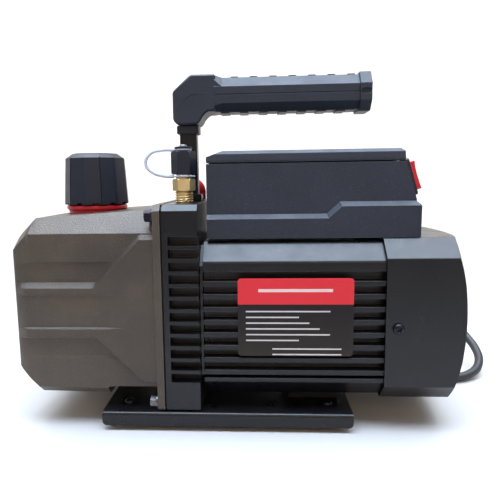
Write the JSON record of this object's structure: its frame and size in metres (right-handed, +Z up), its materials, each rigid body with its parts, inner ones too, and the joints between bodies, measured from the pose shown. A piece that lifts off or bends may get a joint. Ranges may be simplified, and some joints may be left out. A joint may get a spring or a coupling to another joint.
{
  "type": "hvac vacuum pump",
  "caption": "Portable rotary-vane vacuum pump for air-conditioning service, with an oil tank, finned electric motor, carrying handle, capped intake and mains cord.",
  "frame": {"origin": "on the ground, under the centre of the pump without its cord", "axes": "+X along the shaft from the oil tank to the fan cover; -Y is the front, with the plate; +Z up"},
  "size_m": [0.3836, 0.2192, 0.2423],
  "materials": {
    "cast_grey": "sand-textured grey-bronze paint on a casting",
    "black_paint": "satin black paint, fine texture",
    "bare_cast": "machined cast iron, oiled",
    "steel": "ground steel",
    "zinc": "zinc-plated screw",
    "black_zinc": "black oxide bolt with worn corners",
    "aluminium": "drawn aluminium can",
    "brass": "machined brass, lightly tarnished",
    "copper": "enamelled copper winding, varnished",
    "dark_plastic": "textured dark grey-blue moulding",
    "black_plastic": "satin black moulding",
    "red_plastic": "semi-gloss red moulding",
    "clear_plastic": "translucent white polyethylene",
    "vane_carbon": "graphite-filled vane composite",
    "plate_film": "printed film plate, red band over dark ground",
    "oil_glass": "clear window with amber oil behind",
    "rubber": "black moulded rubber",
    "cord_jacket": "black PVC cord jacket"
  },
  "bodies": {
    "housing": {"base_plate": "black_paint", "box_lid": "dark_plastic", "cap_strap": "clear_plastic", "control_box": "dark_plastic", "cord_coil": "cord_jacket", "cord_gland": "rubber", "cover_screw_back": "zinc", "cover_screw_front": "zinc", "discharge_valve": "steel", "exhaust_ring": "red_plastic", "fan_cover": "black_paint", "foot_back_left": "rubber", "foot_back_right": "rubber", "foot_front_left": "rubber", "foot_front_right": "rubber", "foot_screw_back_left": "zinc", "foot_screw_back_right": "zinc", "foot_screw_front_left": "zinc", "foot_screw_front_right": "zinc", "front_bearing": "steel", "front_end_bell": "black_paint", "handle_collar": "dark_plastic", "handle_grip": "dark_plastic", "handle_post": "black_paint", "intake_fitting": "brass", "mains_plug": "black_plastic", "motor_foot": "rubber", "motor_housing": "black_paint", "oil_tank": "cast_grey", "power_cord": "cord_jacket", "power_cord_lead_out": "cord_jacket", "pump_body": "black_paint", "pump_cylinder": "bare_cast", "pump_end_cover": "bare_cast", "rating_plate": "plate_film", "rear_bearing": "steel", "rear_end_bell": "black_paint", "run_capacitor": "aluminium", "sight_glass": "oil_glass", "sight_glass_ring": "black_plastic", "stator_core": "steel", "switch_bezel": "black_plastic", "tank_bolt_high_back": "black_zinc", "tank_bolt_high_front": "black_zinc", "tank_bolt_low_back": "black_zinc", "tank_bolt_low_front": "black_zinc", "tank_gasket": "rubber", "winding_front": "copper", "winding_rear": "copper"},
    "rotating_group": {"motor_shaft": "steel", "motor_rotor": "steel", "cooling_fan": "dark_plastic", "pump_rotor": "steel"},
    "front_vane": {"vane_front": "vane_carbon"},
    "rear_vane": {"vane_rear": "vane_carbon"},
    "exhaust_filler_cap": {"exhaust_cap": "black_plastic"},
    "intake_screw_cap": {"intake_cap": "black_plastic"},
    "second_port_cap": {"port_cap": "red_plastic"},
    "oil_drain_plug": {"drain_plug": "brass"},
    "switch_paddle": {"switch_rocker": "red_plastic"}
  },
  "joints": [
    {"name": "shaft_spin", "type": "hinge", "parent": "housing", "child": "rotating_group", "pos_m": [0, 0, 0.0744], "axis": [1, 0, 0], "continuous": true},
    {"name": "front_vane_slide", "type": "slide", "parent": "rotating_group", "child": "front_vane", "axis": [0, -1, 0], "range_m": [0, 0.0025]},
    {"name": "rear_vane_slide", "type": "slide", "parent": "rotating_group", "child": "rear_vane", "axis": [0, 1, 0], "range_m": [0, 0.0025]},
    {"name": "exhaust_cap_turn", "type": "hinge", "parent": "housing", "child": "exhaust_filler_cap", "pos_m": [-0.108, 0, 0.17], "axis": [0, 0, 1], "range_deg": [0, 540]},
    {"name": "intake_cap_turn", "type": "hinge", "parent": "housing", "child": "intake_screw_cap", "pos_m": [-0.038, -0.022, 0.18], "axis": [0, 0, 1], "range_deg": [0, 900]},
    {"name": "port_cap_turn", "type": "hinge", "parent": "housing", "child": "second_port_cap", "pos_m": [-0.0365, 0.025, 0.16], "axis": [0, 0, 1], "range_deg": [0, 900]},
    {"name": "drain_plug_turn", "type": "hinge", "parent": "housing", "child": "oil_drain_plug", "pos_m": [-0.148, 0, 0.0364], "axis": [-1, 0, 0], "range_deg": [0, 900]},
    {"name": "switch_rock", "type": "hinge", "parent": "housing", "child": "switch_paddle", "pos_m": [0.1144, -0.03, 0.168], "axis": [0, 1, 0], "range_deg": [-14, 0]}
  ]
}
